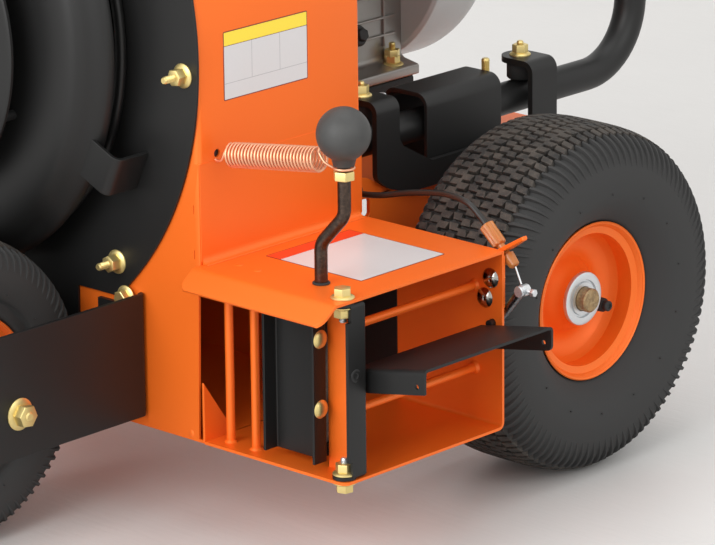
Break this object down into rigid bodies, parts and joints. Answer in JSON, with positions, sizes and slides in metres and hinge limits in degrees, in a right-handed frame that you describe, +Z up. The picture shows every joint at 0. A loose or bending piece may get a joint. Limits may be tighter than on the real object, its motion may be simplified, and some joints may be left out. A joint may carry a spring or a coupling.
{
  "type": "wheeled leaf blower",
  "caption": "Walk-behind leaf blower with a scroll fan housing, split side and front outlet, tilting deflector, rear engine, two rear wheels, offset front wheel and loop handle.",
  "frame": {"origin": "on the ground, in the middle of the footprint", "axes": "+Z up, +Y to the rear where the operator walks, +X to the side that the air leaves"},
  "size_m": [1.115, 1.4215, 1.0405],
  "materials": {
    "orange_powder_coat": "glossy powder coat",
    "black_powder_coat": "satin powder coat",
    "tyre_rubber": "moulded tread",
    "isolator_rubber": "moulded",
    "black_plastic": "fine texture",
    "yellow_zinc": "yellow zinc plated",
    "bright_zinc": "bright zinc plated",
    "copper_spring_wire": "copper washed drawn wire",
    "cast_aluminium": "as cast",
    "grey_shroud": "smooth, light grey",
    "amber_plastic": "translucent amber"
  },
  "bodies": {
    "chassis": {"scroll_wrap": "orange_powder_coat", "front_plate": "orange_powder_coat", "back_plate": "orange_powder_coat", "discharge_box": "orange_powder_coat", "top_plate": "orange_powder_coat", "corner_post": "black_powder_coat", "post_bolt_upper": "yellow_zinc", "post_bolt_lower": "yellow_zinc", "return_spring": "copper_spring_wire", "deflector_wire": "bright_zinc", "cable_ferrule": "amber_plastic", "control_cable": "black_plastic", "inlet_plate": "black_powder_coat", "inlet_ring": "black_powder_coat", "ring_shield": "black_powder_coat", "disc_shield": "black_powder_coat", "inlet_guard": "black_powder_coat", "engine_deck": "orange_powder_coat", "engine_riser": "orange_powder_coat", "isolator_cover_right": "black_powder_coat", "isolator_cover_left": "black_powder_coat", "handle_bracket_right": "black_powder_coat", "handle_bracket_left": "black_powder_coat", "isolator_front_right": "isolator_rubber", "isolator_rear_right": "isolator_rubber", "isolator_front_left": "isolator_rubber", "isolator_rear_left": "isolator_rubber", "handle_frame": "black_powder_coat", "handle_grip": "isolator_rubber", "control_plate": "black_powder_coat", "crankcase": "cast_aluminium", "cylinder": "cast_aluminium", "fan_shroud": "grey_shroud", "recoil_starter": "black_plastic", "fuel_tank": "black_plastic", "air_cleaner": "black_plastic", "muffler": "bright_zinc", "rear_axle": "bright_zinc", "front_fork_right": "black_powder_coat", "front_fork_left": "black_powder_coat", "front_axle": "yellow_zinc"},
    "flap": {"split_flap": "black_powder_coat", "flap_lever": "black_powder_coat", "ball_knob": "black_plastic"},
    "deflector": {"trajectory_deflector": "black_powder_coat", "deflector_arm": "bright_zinc", "cable_swivel": "bright_zinc"},
    "fan": {"impeller": "black_powder_coat", "drive_shaft": "bright_zinc"},
    "rear_wheel_right": {"rear_tyre_right": "tyre_rubber", "rear_rim_right": "orange_powder_coat"},
    "rear_wheel_left": {"rear_tyre_left": "tyre_rubber", "rear_rim_left": "orange_powder_coat"},
    "front_wheel": {"front_tyre": "tyre_rubber", "front_rim": "orange_powder_coat"},
    "throttle": {"throttle_lever": "bright_zinc"},
    "trajectory_control": {"trajectory_lever": "bright_zinc"},
    "ignition": {"ignition_switch": "black_plastic"},
    "pull_grip": {"starter_grip": "black_plastic"},
    "filler_cap": {"fuel_cap": "black_plastic"}
  },
  "joints": [
    {"name": "flap_turn", "type": "hinge", "parent": "chassis", "child": "flap", "pos_m": [0.4246, -0.33775, 0.289], "axis": [0, 0, 1], "range_deg": [-70, 12], "deforming": ["return_spring"]},
    {"name": "deflector_tilt", "type": "hinge", "parent": "chassis", "child": "deflector", "pos_m": [0.473, -0.2395, 0.2115], "axis": [0, 1, 0], "range_deg": [-18, 30], "deforming": ["deflector_wire"]},
    {"name": "fan_spin", "type": "hinge", "parent": "chassis", "child": "fan", "pos_m": [-0.046, -0.24975, 0.495], "axis": [0, 1, 0], "continuous": true},
    {"name": "rear_wheel_right_spin", "type": "hinge", "parent": "chassis", "child": "rear_wheel_right", "pos_m": [0.3925, 0.05025, 0.184], "axis": [1, 0, 0], "continuous": true},
    {"name": "rear_wheel_left_spin", "type": "hinge", "parent": "chassis", "child": "rear_wheel_left", "pos_m": [-0.4845, 0.05025, 0.184], "axis": [1, 0, 0], "continuous": true},
    {"name": "front_wheel_spin", "type": "hinge", "parent": "chassis", "child": "front_wheel", "pos_m": [0.08, -0.54975, 0.161], "axis": [1, 0, 0], "continuous": true},
    {"name": "throttle_pivot", "type": "hinge", "parent": "chassis", "child": "throttle", "pos_m": [0.044, 0.38537, 0.87], "axis": [1, 0, 0], "range_deg": [-25, 25]},
    {"name": "trajectory_pivot", "type": "hinge", "parent": "chassis", "child": "trajectory_control", "pos_m": [0.144, 0.38537, 0.87], "axis": [1, 0, 0], "range_deg": [-25, 25]},
    {"name": "ignition_turn", "type": "hinge", "parent": "chassis", "child": "ignition", "pos_m": [-0.166, 0.40116, 0.868], "axis": [0, 1, 0], "range_deg": [0, 60]},
    {"name": "starter_pull", "type": "slide", "parent": "chassis", "child": "pull_grip", "axis": [1, 0, 0], "range_m": [0, 0.45], "stiffness_N_per_m": 20},
    {"name": "fuel_cap_turn", "type": "hinge", "parent": "chassis", "child": "filler_cap", "pos_m": [-0.106, 0.10025, 0.7843], "axis": [0, 0, 1], "range_deg": [0, 90]}
  ],
  "couplings": [
    {"joint": "trajectory_pivot", "follows": "deflector_tilt", "ratio": 0.8}
  ]
}
